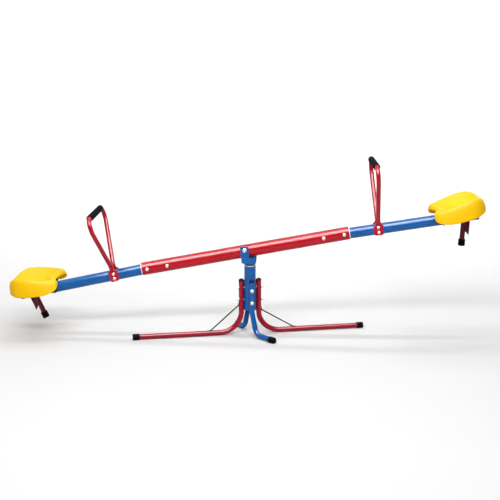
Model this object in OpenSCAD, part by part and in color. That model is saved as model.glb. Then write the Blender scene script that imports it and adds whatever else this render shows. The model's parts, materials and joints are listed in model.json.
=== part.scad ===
// Rotating children's seesaw: a two-seat beam that tilts on a yoke, and a yoke that swivels on a
// four-legged post. Millimetres, +Z up. The origin is on the floor, on the post's axis. The beam
// runs along X with its right end raised, as the seesaw stands when nobody sits on it.

/* [Pose at rest] */
// Tilt of the beam, right end up, in degrees
rest_tilt = 10.5; // [6:0.5:12]
// Turn of the legs about the post, in degrees
base_yaw = 12; // [0:0.5:45]

/* [Post and swivel] */
// Outer diameter of the post
post_d = 44; // [40:1:44]
// Wall of the post
post_wall = 2; // [1.5:0.5:2.5]
// Height of the post's top edge
post_top = 272; // [266:1:276]
// Height of the bottom edge of the post and its collar
post_bottom = 98; // [90:1:104]
// Outer diameter of the collar that the legs bolt to
collar_d = 47.5; // [46:0.5:50]
// Height of the collar's top edge
collar_top = 212; // [206:1:216]
// Diameter of the swivel spindle
spindle_d = 30; // [26:1:32]
// Radial running clearance of the swivel and of the pivot
running_gap = 0.05; // [0.02:0.01:0.1]

/* [Legs] */
// Outer diameter of the leg tubes
leg_d = 20; // [18:1:20]
// Wall of the leg tubes
leg_wall = 1.5; // [1:0.5:2]
// Height of the leg tubes' top ends
leg_top = 213; // [212:1:224]
// Centreline radius of the bend at a long leg's foot
leg_bend = 82; // [60:1:85]
// Reach of the long left and right legs from the post's axis
long_reach = 450; // [400:5:500]
// Reach of the short legs before their feet are turned: front, rear
short_reach = [158, 118]; // [110:2:200]
// Turn of the short legs' feet about their own uprights, in degrees: front, rear
short_twist = [32, 22]; // [0:1:35]
// Height at which the short legs start to lean outwards
short_lean_z = 104; // [80:2:110]
// How far the short legs lean outwards before they lie down
short_lean = 27; // [15:1:40]
// Outer diameter of the foot caps
foot_cap_d = 24; // [23:0.5:26]
// Length of the foot caps
foot_cap_l = 26; // [20:1:32]
// Heights of the side-to-side leg bolts
side_bolt_z = [187, 139]; // [130:1:195]
// Heights of the front-to-rear leg bolts
front_bolt_z = [180, 132]; // [125:1:188]
// Diameter of the brace rods
brace_d = 5; // [4:0.5:6]
// Height of the upper end of each brace: left, right
brace_z = [116, 95]; // [90:1:122]
// Distance of the lower end of each brace from the post's axis: left, right
brace_r = [152, 168]; // [140:1:190]

/* [Yoke and pivot] */
// Height of the pivot bolt
pivot_z = 336; // [330:1:342]
// Distance of the pivot bolt to the left of the post's axis
pivot_left = 20; // [16:1:22]
// Height of the pivot bolt above the beam's axis
pivot_above = 8; // [4:1:9]
// Diameter of the pivot bolt
pivot_d = 10; // [8:1:12]
// Thickness of the yoke's steel
yoke_t = 4.5; // [3:0.5:5]
// Side play between the beam and each cheek of the yoke
cheek_gap = 1.5; // [1.2:0.1:2.5]

/* [Beam] */
// Outer diameter of the middle tube
centre_d = 50; // [50:1:51]
// Wall of the middle tube
centre_wall = 1.5; // [1.5:0.1:2]
// Half the length of the middle tube
centre_half = 400; // [360:5:440]
// Outer diameter of the arm tubes
arm_d = 42; // [40:1:42]
// Wall of the arm tubes
arm_wall = 1.5; // [1.2:0.1:2]
// Droop of each arm below the middle tube's line, in degrees
arm_droop = 1.5; // [0:0.1:1.5]
// Length of each arm inside the middle tube
arm_overlap = 118; // [110:2:140]
// Distance of an arm's outer end from the pivot
arm_end = 884; // [870:2:890]
// Distances of the two sleeve bolts from the end of the middle tube
sleeve_bolt_in = [20, 98]; // [15:1:105]
// Thickness of the sleeve's flange at the mouth of the middle tube
sleeve_flange_t = 2.5; // [2:0.5:3]

/* [Handles] */
// Distance of the handles from the pivot
handle_u = 510; // [480:5:540]
// Outer diameter of the handle tube
handle_d = 17; // [16:1:18]
// Wall of the handle tube
handle_wall = 1.5; // [1:0.5:2]
// Height of the grip's axis above the arm's axis
grip_w = 250; // [230:5:270]
// Half the outer width of the loop, on the tube's centreline
loop_half = 146; // [130:2:150]
// Bend radius of the loop's upper corners
loop_corner = 34; // [30:1:40]
// Outer diameter of the foam grips
grip_d = 25; // [22:0.5:28]
// Outward lean of the handles, in degrees
handle_lean = 4; // [0:0.5:8]
// Width of the flattened feet of a handle
foot_plate_w = 36; // [30:1:40]
// Thickness of the flattened feet
foot_plate_t = 5; // [4:0.5:6]
// Distance between the two bolts of a handle
handle_bolt_pitch = 18; // [16:1:20]

/* [Seats] */
// Distance of the seat's middle from the pivot
seat_u = 815; // [805:1:825]
// Thickness of the moulded shell
seat_t = 4; // [3:0.5:5]
// Height of the seat pan above the arm's axis
pan_w = 30; // [30:1:36]
// Length of the saddle pad between the arm and the seat
pad_l = 120; // [80:5:125]
// Half the width of the saddle pad
pad_half = 29; // [27:1:34]

/* [Bumpers] */
// Distance of a bumper's axis from the pivot, measured at the arm's axis
bumper_u = 834; // [820:1:845]
// Lean of the bumpers towards the middle, in degrees
bumper_lean = 11.5; // [0:0.5:15]
// Outer diameter of the bumper tube
bumper_d = 19; // [18:1:22]
// Distance of the cap's end from the arm's axis
bumper_reach = 113; // [100:1:115]
// Outer diameter of the rubber cap
bumper_cap_d = 26; // [24:1:30]
// Length of the rubber cap
bumper_cap_l = 25; // [20:1:30]

/* [Hidden] */

$fn = 64;
e = 0.5; // overshoot of a cut past the face it opens

SIDES = [-1, 1]; // left, right
QUARTERS = [0, 90, 180, 270]; // right, rear, left, front leg, from the long axis of the base

paint_red = [0.72, 0.06, 0.10];
paint_crimson = [0.55, 0.04, 0.12];
paint_maroon = [0.26, 0.02, 0.06];
paint_blue = [0.10, 0.33, 0.62];
seat_yellow = [0.98, 0.82, 0.02];
black = [0.04, 0.04, 0.05];
zinc = [0.75, 0.76, 0.78];
nylon = [0.85, 0.85, 0.82];
brace_brown = [0.12, 0.06, 0.05];

// Base
foot_z = foot_cap_d / 2 - 1.2; // axis of the lying part of a leg, above the caps' flat soles
leg_r = collar_d / 2 + leg_d / 2 + 0.05; // radius at which the legs stand against the collar
plug_dome = 9;
plug_depth = 18;
m6_r = 3;
m6_hole_r = 3.25;
m6_head_r = 6.5;
m6_head_h = 4;
washer_t = 1.5;
washer_r = 8;
leg_bolt_grip = 2 * (leg_r + leg_d / 2); // over both legs of a pair

// Swivel
bush_flange_t = 2.4;
bush_l = 20;
spindle_bottom = 200;
neck_r = 17;
weld_r = 21;
yoke_floor = 280;

// Yoke
cheek_in = centre_d / 2 + cheek_gap;
cheek_out = cheek_in + yoke_t;
pivot_bush_r = 7;
rear_ear = 10; // top of the rear ear above the pivot

// Arms
arm_start = centre_half - arm_overlap;
droop_u = centre_half - arm_overlap / 2; // the arm's line crosses the middle tube's line here

// ---------------------------------------------------------------- frames

// Children are drawn along the beam: X from the pivot, Z up from the middle tube's axis.
module on_beam() {
    translate([-pivot_left, 0, pivot_z]) rotate([0, -rest_tilt, 0])
        translate([0, 0, -pivot_above]) children();
}

// Children are drawn on the right arm, X from the pivot, Z from the arm's axis; side -1 mirrors them.
module on_arm(side) {
    on_beam() mirror([side < 0 ? 1 : 0, 0, 0])
        translate([droop_u, 0, 0]) rotate([0, arm_droop, 0]) translate([-droop_u, 0, 0]) children();
}

// Children are drawn with X along a leg.
module on_leg(turn) {
    rotate([0, 0, base_yaw + turn]) children();
}

// Children are drawn with Z down a bumper's axis, from the arm's axis, and X outwards.
module on_bumper(side) {
    on_arm(side) translate([bumper_u, 0, 0]) rotate([0, bumper_lean, 0]) mirror([0, 0, 1]) children();
}

// ---------------------------------------------------------------- shared shapes

function unit(v) = v / norm(v);
function left_of(d) = [-d[1], d[0]];
function turn_of(d1, d2) = acos(max(-1, min(1, d1 * d2)));
function point(path, i) = [path[i][0], path[i][1]];
function heading(path, i) = unit(point(path, i + 1) - point(path, i));
// How far a corner's bend reaches along the straights beside it; 0 at the path's ends.
function bend_cut(path, i) = (i == 0 || i == len(path) - 1) ? 0
    : path[i][2] * tan(turn_of(heading(path, i - 1), heading(path, i)) / 2);

// A round rod along a flat path [[x, z], [x, z, bend radius], ...] in the XZ plane.
module bent_rod(path, r) {
    rotate([90, 0, 0]) {
        for (i = [0 : len(path) - 2]) {
            d = heading(path, i);
            a = point(path, i) + d * bend_cut(path, i);
            b = point(path, i + 1) - d * bend_cut(path, i + 1);
            translate([a[0], a[1], 0]) rotate([0, 0, atan2(d[1], d[0])]) rotate([0, 90, 0])
                cylinder(h = norm(b - a), r = r);
        }
        for (i = [1 : len(path) - 2]) {
            d1 = heading(path, i - 1);
            d2 = heading(path, i);
            way = sign(d1[0] * d2[1] - d1[1] * d2[0]);
            bend = turn_of(d1, d2);
            start = point(path, i) - d1 * bend_cut(path, i);
            centre = start + way * path[i][2] * left_of(d1);
            from = start - centre;
            first = atan2(from[1], from[0]) - (way < 0 ? bend : 0);
            translate([centre[0], centre[1], 0]) rotate([0, 0, first])
                rotate_extrude(angle = bend) translate([path[i][2], 0]) circle(r);
        }
    }
}

// The same path with its two end points moved outwards.
function stretched(path, by) = [
    for (i = [0 : len(path) - 1])
        i == 0 ? point(path, 0) - by * heading(path, 0)
        : i == len(path) - 1 ? point(path, i) + by * heading(path, i - 1)
        : path[i]
];

// The same path as stations [x, z, heading] with each bend in steps of about 15 degrees.
function stations(path) = concat(
    [[each point(path, 0), heading(path, 0)]],
    [for (i = [1 : len(path) - 2])
        let (
            d1 = heading(path, i - 1), d2 = heading(path, i),
            way = sign(d1[0] * d2[1] - d1[1] * d2[0]), bend = turn_of(d1, d2),
            start = point(path, i) - d1 * bend_cut(path, i),
            centre = start + way * path[i][2] * left_of(d1), n = ceil(bend / 15)
        )
        for (k = [0 : n])
            let (a = way * bend * k / n, d = [
                d1[0] * cos(a) - d1[1] * sin(a), d1[0] * sin(a) + d1[1] * cos(a)
            ])
            [each (centre - way * path[i][2] * left_of(d)), d]],
    [[each point(path, len(path) - 1), heading(path, len(path) - 2)]]
);

// One point of a rounded rectangle's outline: half sizes a and b, squareness 1 for an ellipse.
function squarish(a, b, square, turn) =
    let (c = cos(turn), d = sin(turn))
    [a * sign(c) * pow(abs(c), 1 / square), b * sign(d) * pow(abs(d), 1 / square)];

// A tube swept along stations [x, z, heading, half thickness, half width, squareness] in the XZ
// plane; the width lies along Y. Outer rings run forward and inner rings back; both ends are open.
module swept_tube(line, wall, sides) {
    m = len(line);
    rings = concat(
        [for (q = line) [q, 0]],
        [for (i = [m - 1 : -1 : 0]) [line[i], wall]]
    );
    points = [for (g = rings) for (k = [0 : sides - 1])
        let (q = g[0], p = squarish(q[3] - min(g[1], 0.6 * q[3]), q[4] - g[1], q[5], 360 * k / sides),
            n = left_of(q[2]) * p[0])
        [q[0] + n[0], p[1], q[1] + n[1]]];
    faces = [for (j = [0 : 2 * m - 1]) for (k = [0 : sides - 1])
        let (next = (j + 1) % (2 * m), b = (k + 1) % sides)
        each [
            [j * sides + k, next * sides + k, next * sides + b],
            [j * sides + k, next * sides + b, j * sides + b]
        ]];
    polyhedron(points, faces, convexity = 8);
}

module bent_tube(path, r, wall) {
    difference() {
        bent_rod(path, r);
        bent_rod(stretched(path, e), r - wall);
    }
}

// A cylinder along Y, centred, for bolts and holes that cross the beam.
module along_y(r, l) {
    rotate([90, 0, 0]) cylinder(h = l, r = r, center = true);
}

// A round-headed bolt along +X: the head's seat is at x = 0 and the shank runs to x = l.
module dome_bolt(r, l, head_r, head_h) {
    rotate([0, 90, 0]) rotate_extrude()
        polygon(concat(
            [[0, l], [r - 0.4, l], [r, l - 0.4], [r, 0], [head_r, 0], [head_r, -0.8]],
            [for (a = [15 : 15 : 90]) [head_r * cos(a), -0.8 - (head_h - 0.8) * sin(a)]]
        ));
}

// A hexagon nut along +X, its face at x = 0, bored for a shank of radius r.
module hex_nut(r, across, h) {
    rotate([0, 90, 0]) difference() {
        cylinder(h = h, r = across / sqrt(3), $fn = 6);
        translate([0, 0, -e]) cylinder(h = h + 2 * e, r = r + 0.05);
    }
}

module washer(r, hole_r, t) {
    rotate([0, 90, 0]) difference() {
        cylinder(h = t, r = r);
        translate([0, 0, -e]) cylinder(h = t + 2 * e, r = hole_r);
    }
}

// ---------------------------------------------------------------- base

// Places children at each leg bolt with X along it: side to side first, then front to rear.
module at_leg_bolts() {
    for (z = side_bolt_z) on_leg(0) translate([0, 0, z]) children();
    for (z = front_bolt_z) on_leg(90) translate([0, 0, z]) children();
}

module leg_bolt_holes() {
    at_leg_bolts() rotate([0, 90, 0]) cylinder(h = 120, r = m6_hole_r, center = true);
}

module post_tube() {
    color(paint_blue) difference() {
        translate([0, 0, post_bottom]) cylinder(h = post_top - post_bottom, d = post_d);
        translate([0, 0, post_bottom - e])
            cylinder(h = post_top - post_bottom + 2 * e, d = post_d - 2 * post_wall);
        leg_bolt_holes();
    }
}

module leg_collar() {
    color(paint_blue) difference() {
        translate([0, 0, post_bottom]) cylinder(h = collar_top - post_bottom, d = collar_d);
        translate([0, 0, post_bottom - e])
            cylinder(h = collar_top - post_bottom + 2 * e, d = post_d + 0.1);
        leg_bolt_holes();
    }
}

function long_path() = [[leg_r, leg_top], [leg_r, foot_z, leg_bend], [long_reach, foot_z]];
function short_path(i) = [
    [leg_r, leg_top], [leg_r, short_lean_z, 60], [leg_r + short_lean, foot_z, 34],
    [short_reach[i], foot_z]
];

// Children are drawn with X along a leg's foot, which is turned about the leg's upright.
module on_foot(turn, twist) {
    on_leg(turn) translate([leg_r, 0, 0]) rotate([0, 0, twist]) translate([-leg_r, 0, 0]) children();
}

module leg(turn, twist, path) {
    difference() {
        on_foot(turn, twist) bent_tube(path, leg_d / 2, leg_wall);
        leg_bolt_holes();
    }
}

module leg_left() { color(paint_crimson) leg(180, 0, long_path()); }
module leg_right() { color(paint_crimson) leg(0, 0, long_path()); }
module leg_front() { color(paint_blue) leg(270, short_twist[0], short_path(0)); }
module leg_rear() { color(paint_blue) leg(90, short_twist[1], short_path(1)); }

// Domed black plugs that close the tops of the leg tubes.
module leg_top_plugs() {
    rim_r = leg_d / 2 + 0.4;
    stem_r = leg_d / 2 - leg_wall - 0.05;
    color(black) for (turn = QUARTERS) on_leg(turn) translate([leg_r, 0, leg_top])
        intersection() {
            rotate_extrude() polygon(concat(
                [[0, -plug_depth], [stem_r, -plug_depth], [stem_r, 0], [rim_r, 0], [rim_r, 1.5]],
                [for (a = [15 : 15 : 90]) [rim_r * cos(a), 1.5 + (plug_dome - 1.5) * sin(a)]]
            ));
            // the rim is trimmed where it meets the post
            translate([post_d / 2 + 0.1 - leg_r, -20, -30]) cube([40, 40, 60]);
        }
}

// A cap that closes a leg's end and stands on a flat sole.
module foot_cap(turn, twist, reach) {
    inside = foot_cap_l - 3;
    color(black) on_foot(turn, twist) difference() {
        translate([reach - inside, 0, foot_z]) rotate([0, 90, 0]) rotate_extrude()
            polygon([
                [0, 0], [foot_cap_d / 2, 0], [foot_cap_d / 2, foot_cap_l - 3],
                [foot_cap_d / 2 - 0.9, foot_cap_l - 0.9], [foot_cap_d / 2 - 3, foot_cap_l],
                [0, foot_cap_l]
            ]);
        translate([reach - inside - e, 0, foot_z]) rotate([0, 90, 0])
            cylinder(h = inside + e, r = leg_d / 2);
        translate([reach - inside - 10, -30, -20]) cube([80, 60, 20]);
    }
}

module foot_cap_left() { foot_cap(180, 0, long_reach); }
module foot_cap_right() { foot_cap(0, 0, long_reach); }
module foot_cap_front() { foot_cap(270, short_twist[0], short_reach[0]); }
module foot_cap_rear() { foot_cap(90, short_twist[1], short_reach[1]); }

// Brace ends, in the plane of a long leg: a tab on the outside of its upright, and one on its foot.
// The rod starts at one end of a tab and the screw goes through its other end.
eye_t = 2.5;
eye_r = 5.5;
tab_l = 8.5;
tab_gap = 0.08;
brace_screw_r = 2;
function brace_top(i) = [leg_r + leg_d / 2 + eye_t / 2, 0, brace_z[i]];
function brace_foot(i) = [brace_r[i], 0, foot_z + leg_d / 2 + eye_t / 2];

// Places children at a brace's two tabs, X along the tab from the rod to the screw, Z outwards.
module at_tabs(i) {
    translate(brace_top(i)) rotate([0, 90, 0]) mirror([1, 0, 0]) children();
    translate(brace_foot(i)) children();
}

// A rod with a drilled tab at each end; the tabs lie on the leg.
module brace_rod(i, turn) {
    way = brace_foot(i) - brace_top(i);
    color(brace_brown) on_leg(turn) difference() {
        union() {
            translate(brace_top(i)) rotate([0, atan2(way[0], way[2]), 0])
                cylinder(h = norm(way), d = brace_d);
            at_tabs(i) {
                cylinder(h = eye_t, r = eye_r - 1.5, center = true);
                translate([0, 2.2 - eye_r, -eye_t / 2]) cube([tab_l, 2 * eye_r - 4.4, eye_t]);
                translate([tab_l, 0, 0]) cylinder(h = eye_t, r = eye_r, center = true);
            }
        }
        translate([leg_r, 0, 0]) cylinder(h = leg_top, r = leg_d / 2 + tab_gap);
        translate([0, 0, foot_z]) rotate([0, 90, 0]) cylinder(h = long_reach, r = leg_d / 2 + tab_gap);
        at_tabs(i) translate([tab_l, 0, 0]) cylinder(h = 16, r = brace_screw_r + 0.1, center = true);
    }
}

module brace_rod_left() { brace_rod(0, 180); }
module brace_rod_right() { brace_rod(1, 0); }

// Places children at each brace screw, X pointing into the leg, on the outer face of the tab.
module at_brace_screws() {
    for (i = [0, 1]) on_leg(i == 0 ? 180 : 0) at_tabs(i)
        translate([tab_l, 0, eye_t / 2]) rotate([0, 90, 0]) children();
}

module brace_screws() {
    color(zinc) at_brace_screws() dome_bolt(brace_screw_r, 10, 4, 2.6);
}

// Bolt heads on the left and front legs, nuts on the right and rear legs.
module leg_bolts() {
    color(zinc) at_leg_bolts() translate([-leg_bolt_grip / 2 - washer_t, 0, 0])
        dome_bolt(m6_r, leg_bolt_grip + 2 * washer_t + 12, m6_head_r, m6_head_h);
}

module leg_washers() {
    color(zinc) at_leg_bolts() for (x = [-leg_bolt_grip / 2 - washer_t, leg_bolt_grip / 2])
        translate([x, 0, 0]) washer(washer_r - 1, m6_hole_r, washer_t);
}

module leg_nuts() {
    color(zinc) at_leg_bolts() translate([leg_bolt_grip / 2 + washer_t, 0, 0])
        hex_nut(m6_r, 10, 5);
}

// ---------------------------------------------------------------- swivel

bush_bore = spindle_d / 2 + running_gap;
bush_outer = post_d / 2 - post_wall;

module upper_bush() {
    color(nylon) difference() {
        union() {
            translate([0, 0, post_top - bush_l]) cylinder(h = bush_l, r = bush_outer);
            translate([0, 0, post_top]) cylinder(h = bush_flange_t, r = post_d / 2);
        }
        translate([0, 0, post_top - bush_l - e])
            cylinder(h = bush_l + bush_flange_t + 2 * e, r = bush_bore);
    }
}

module lower_bush() {
    color(nylon) difference() {
        translate([0, 0, spindle_bottom + 4]) cylinder(h = bush_l, r = bush_outer);
        translate([0, 0, spindle_bottom + 4 - e]) cylinder(h = bush_l + 2 * e, r = bush_bore);
    }
}

// The turning shaft: a neck that rests on the upper bush, and a threaded bore in its lower end.
module spindle() {
    bore_r = 4.1;
    bore_l = 26;
    color(paint_blue) difference() {
        rotate_extrude() polygon([
            [0, spindle_bottom], [spindle_d / 2 - 1, spindle_bottom],
            [spindle_d / 2, spindle_bottom + 1], [spindle_d / 2, post_top + bush_flange_t + 0.2],
            [neck_r, post_top + bush_flange_t + 0.2], [weld_r, yoke_floor], [0, yoke_floor]
        ]);
        translate([0, 0, spindle_bottom - e]) cylinder(h = bore_l + e, r = bore_r);
    }
}

retainer_t = 2.5;

module spindle_washer() {
    color(zinc) translate([0, 0, spindle_bottom]) rotate([0, 90, 0])
        washer(spindle_d / 2 + 2.5, 4.2, retainer_t);
}

module spindle_bolt() {
    color(zinc) translate([0, 0, spindle_bottom - retainer_t]) rotate([0, -90, 0])
        dome_bolt(4, 24, 7, 5);
}

// ---------------------------------------------------------------- yoke

// Cross-section of the pressed U, across the beam: rounded lower corners, open at the top.
module yoke_section(top) {
    bend_r = 8;
    difference() {
        union() {
            translate([-cheek_out, yoke_floor + bend_r]) square([2 * cheek_out, top]);
            translate([bend_r - cheek_out, yoke_floor]) square([2 * (cheek_out - bend_r), bend_r + 1]);
            for (s = SIDES) translate([s * (cheek_out - bend_r), yoke_floor + bend_r]) circle(bend_r);
        }
        inner_r = bend_r - yoke_t;
        translate([-cheek_in, yoke_floor + bend_r]) square([2 * cheek_in, top + 1]);
        translate([inner_r - cheek_in, yoke_floor + yoke_t])
            square([2 * (cheek_in - inner_r), bend_r]);
        for (s = SIDES) translate([s * (cheek_in - inner_r), yoke_floor + bend_r]) circle(inner_r);
    }
}

// Outline of a cheek, seen along Y: a wide rounded base, and an ear that leans to the left.
module cheek_outline() {
    ear_top = pivot_z + 14;
    shoulder = pivot_z - 28;
    polygon([
        [-17, yoke_floor - 1], [14, yoke_floor - 1], [19, yoke_floor + 7], [23, yoke_floor + 10],
        [25, yoke_floor + 13], [25, shoulder - 2], [23, shoulder], [-2, shoulder],
        [-5.5, ear_top - 2], [-8, ear_top], [-35, ear_top], [-37.5, ear_top - 2],
        [-31, yoke_floor + 8], [-29, yoke_floor + 6], [-24, yoke_floor + 6]
    ]);
}

module yoke() {
    color(paint_blue) difference() {
        intersection() {
            translate([-50, 0, 0]) rotate([90, 0, 90]) linear_extrude(height = 100) yoke_section(80);
            rotate([90, 0, 0]) linear_extrude(height = 100, center = true) cheek_outline();
        }
        translate([-pivot_left, 0, pivot_z]) along_y(pivot_d / 2 + 0.1, 100);
        // the rear ear is lower than the front one
        translate([-50, 10, pivot_z + rear_ear]) cube([100, 40, 40]);
    }
}

pivot_head_h = 5;
pivot_nut_h = 8;

module pivot_bolt() {
    color(zinc) translate([-pivot_left, -cheek_out, pivot_z]) rotate([0, 0, 90])
        dome_bolt(pivot_d / 2, 2 * cheek_out + pivot_nut_h + 4, 8.5, pivot_head_h);
}

module pivot_nut() {
    color(zinc) translate([-pivot_left, cheek_out, pivot_z]) rotate([0, 0, 90])
        hex_nut(pivot_d / 2, 16, pivot_nut_h);
}

// ---------------------------------------------------------------- beam

// Places children at the sleeve bolts with X along the bolt, towards the front.
module at_sleeve_bolts() {
    for (s = SIDES) for (d = sleeve_bolt_in) on_beam() translate([s * (centre_half - d), 0, 0])
        rotate([0, 0, 90]) children();
}

module sleeve_bolt_holes() {
    at_sleeve_bolts() rotate([0, 90, 0]) cylinder(h = 100, r = m6_hole_r, center = true);
}

module pivot_bush_hole() {
    on_beam() translate([0, 0, pivot_above]) along_y(pivot_bush_r + 0.05, 100);
}

module centre_tube() {
    color(paint_red) difference() {
        on_beam() rotate([0, 90, 0]) difference() {
            cylinder(h = 2 * centre_half, d = centre_d, center = true);
            cylinder(h = 2 * centre_half + 2 * e, d = centre_d - 2 * centre_wall, center = true);
        }
        sleeve_bolt_holes();
        pivot_bush_hole();
    }
}

// A steel sleeve through the beam, which turns on the pivot bolt.
module pivot_bush() {
    half = cheek_in - 0.1;
    color(zinc) on_beam() translate([0, 0, pivot_above]) difference() {
        along_y(pivot_bush_r, 2 * half);
        along_y(pivot_d / 2 + running_gap, 2 * half + 2 * e);
    }
}

// Heights of a handle's two bolts from the arm's axis.
handle_bolt_w = [handle_bolt_pitch / 2, -handle_bolt_pitch / 2];

module at_handle_bolts() {
    for (s = SIDES) for (w = handle_bolt_w) on_arm(s) translate([handle_u, 0, w])
        rotate([0, 0, 90]) children();
}

module handle_bolt_holes() {
    at_handle_bolts() rotate([0, 90, 0]) cylinder(h = 100, r = m6_hole_r, center = true);
}

seat_screw_u = [-60, -5]; // from the seat's middle
seat_screw_r = 3;

module at_seat_screws() {
    for (s = SIDES) for (u = seat_screw_u) on_arm(s) translate([seat_u + u, 0, 0]) children();
}

module seat_screw_holes() {
    at_seat_screws() cylinder(h = 70, r = m6_hole_r, center = true);
}

module arm_tube(side) {
    color(paint_blue) difference() {
        on_arm(side) translate([arm_start, 0, 0]) rotate([0, 90, 0]) difference() {
            cylinder(h = arm_end - arm_start, d = arm_d);
            translate([0, 0, -e]) cylinder(h = arm_end - arm_start + 2 * e, d = arm_d - 2 * arm_wall);
        }
        sleeve_bolt_holes();
        handle_bolt_holes();
        seat_screw_holes();
    }
}

module left_arm_tube() { arm_tube(-1); }
module right_arm_tube() { arm_tube(1); }

// A plastic sleeve that fills the gap between an arm and the middle tube and covers its cut end.
module sleeve(side) {
    gap = 0.05;
    color(nylon) difference() {
        on_beam() mirror([side < 0 ? 1 : 0, 0, 0]) rotate([0, 90, 0]) union() {
            translate([0, 0, arm_start + 2])
                cylinder(h = centre_half - arm_start - 2, r = centre_d / 2 - centre_wall - gap);
            translate([0, 0, centre_half]) cylinder(h = sleeve_flange_t, d = centre_d);
        }
        on_arm(side) rotate([0, 90, 0]) cylinder(h = arm_end, r = arm_d / 2 + gap);
        sleeve_bolt_holes();
    }
}

module left_sleeve() { sleeve(-1); }
module right_sleeve() { sleeve(1); }

module sleeve_bolts() {
    color(zinc) at_sleeve_bolts() translate([-centre_d / 2, 0, 0])
        dome_bolt(m6_r, centre_d + 9, m6_head_r, m6_head_h);
}

module sleeve_nuts() {
    color(zinc) at_sleeve_bolts() translate([centre_d / 2, 0, 0]) hex_nut(m6_r, 10, 5);
}

// A plastic plug that closes the outer end of an arm, under the seat.
module end_plug(side) {
    color(black) on_arm(side) translate([arm_end, 0, 0]) rotate([0, 90, 0]) rotate_extrude()
        polygon([
            [0, -20], [arm_d / 2 - arm_wall - 0.05, -20], [arm_d / 2 - arm_wall - 0.05, 0],
            [arm_d / 2, 0], [arm_d / 2, 2], [arm_d / 2 - 1, 3], [0, 3]
        ]);
}

module left_end_plug() { end_plug(-1); }
module right_end_plug() { end_plug(1); }

// ---------------------------------------------------------------- handles

plate_y = arm_d / 2 + foot_plate_t / 2; // the flattened feet lie against the arm's sides
handle_sides = 20;

// The flattened end of the tube, from its rounded lower edge to where it is round again:
// [height, part of the full width, part of the way from flat to round].
FOOT = [
    [-20, 0.66, 0], [-18.6, 0.84, 0], [-16, 0.96, 0], [-12, 1, 0], [15.5, 1, 0],
    [18.5, 1, 0.2], [21.5, 1, 0.5], [24.5, 1, 0.82], [27.4, 1, 1]
];

// Centreline of the loop from the near foot over the top to the far foot, in the plane across the arm:
// up, outwards at a slope of 4 in 3, up again, and across the top.
round_from = 28;
flare_from = round_from + 10;
flare_to = flare_from + (loop_half - plate_y) * 4 / 3;
function loop_path() = [
    [-plate_y, round_from], [-plate_y, flare_from, 24], [-loop_half, flare_to, 60],
    [-loop_half, grip_w, loop_corner], [loop_half, grip_w, loop_corner],
    [loop_half, flare_to, 60], [plate_y, flare_from, 24], [plate_y, round_from]
];
function foot_station(f, side) =
    let (
        r = handle_d / 2,
        thick = foot_plate_t / 2 + (r - foot_plate_t / 2) * f[2],
        wide = foot_plate_w / 2 * f[1] + (r - foot_plate_w / 2 * f[1]) * f[2]
    )
    [side * plate_y, f[0], [0, -side], thick, wide, 1 + 2 * (1 - f[2])];
function handle_stations() = concat(
    [for (f = FOOT) foot_station(f, -1)],
    [for (q = stations(loop_path())) concat(q, [handle_d / 2, handle_d / 2, 1])],
    [for (i = [len(FOOT) - 1 : -1 : 0]) foot_station(FOOT[i], 1)]
);

// Children are drawn in a handle's own plane: X along the arm, Y across it, Z up the handle.
module on_handle(side) {
    on_arm(side) translate([handle_u, 0, 0]) rotate([0, handle_lean, 0]) children();
}

module handle(side) {
    color(paint_crimson) difference() {
        on_handle(side) rotate([0, 0, 90]) swept_tube(handle_stations(), handle_wall, handle_sides);
        handle_bolt_holes();
    }
}

module left_handle() { handle(-1); }
module right_handle() { handle(1); }

module grip(side) {
    half = loop_half - loop_corner;
    color(black) on_handle(side) translate([0, 0, grip_w]) difference() {
        along_y(grip_d / 2, 2 * half);
        along_y(handle_d / 2 + 0.05, 2 * half + 2 * e);
    }
}

module left_grip() { grip(-1); }
module right_grip() { grip(1); }

module handle_bolts() {
    grip_l = arm_d + 2 * foot_plate_t;
    color(zinc) at_handle_bolts() translate([-grip_l / 2, 0, 0])
        dome_bolt(m6_r, grip_l + 9, m6_head_r - 0.5, m6_head_h);
}

module handle_nuts() {
    color(zinc) at_handle_bolts() translate([arm_d / 2 + foot_plate_t, 0, 0])
        hex_nut(m6_r, 10, 5);
}

// ---------------------------------------------------------------- seats

// Half of the seat's outline, from the notch in front, round a front lobe, to the middle of the
// back: [distance from the seat's middle, distance from its centreline, rim height, hem height].
// Heights are above the arm's axis.
SEAT_HALF = [
    [-77, 0, 41, 31], [-84, 28, 44, 32], [-95, 62, 49, 31], [-101, 84, 50, 26],
    [-92, 102, 51, 10], [-56, 122, 57, 2], [0, 126, 70, 5], [51, 114, 77, 11],
    [83, 83, 73, 20], [96, 38, 66, 26], [101, 0, 63, 28]
];
seat_steps = 3; // smooth steps between two of these points

function seat_loop() = concat(SEAT_HALF,
    [for (i = [len(SEAT_HALF) - 2 : -1 : 1])
        [SEAT_HALF[i][0], -SEAT_HALF[i][1], SEAT_HALF[i][2], SEAT_HALF[i][3]]]);

// A Catmull-Rom curve through four neighbouring points of the loop.
function blend4(a, b, c, d, t) = 0.5 * (2 * b + (c - a) * t + (2 * a - 5 * b + 4 * c - d) * t * t
    + (3 * b - a - 3 * c + d) * t * t * t);
function smooth_loop(p, steps) = let (n = len(p)) [
    for (i = [0 : n - 1]) for (k = [0 : steps - 1])
        blend4(p[(i + n - 1) % n], p[i], p[(i + 1) % n], p[(i + 2) % n], k / steps)
];

// One ring of the shell: each outline point moved in by an inset, then scaled towards the middle.
// It rises from the hem (0) to the rim (1), and inside the rim it sinks to the pan.
function seat_ring(loop, ring) =
    let (inset = ring[0], share = ring[1], rise = ring[2], down = ring[3])
    [for (q = loop)
        let (r = norm([q[0], q[1]]), k = (r - inset) / r * share)
        [q[0] * k, q[1] * k, (share == 1 ? q[3] + (q[2] - q[3]) * rise
            : pan_w + (q[2] - pan_w) * pow(share, 2.4)) - down]];

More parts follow.
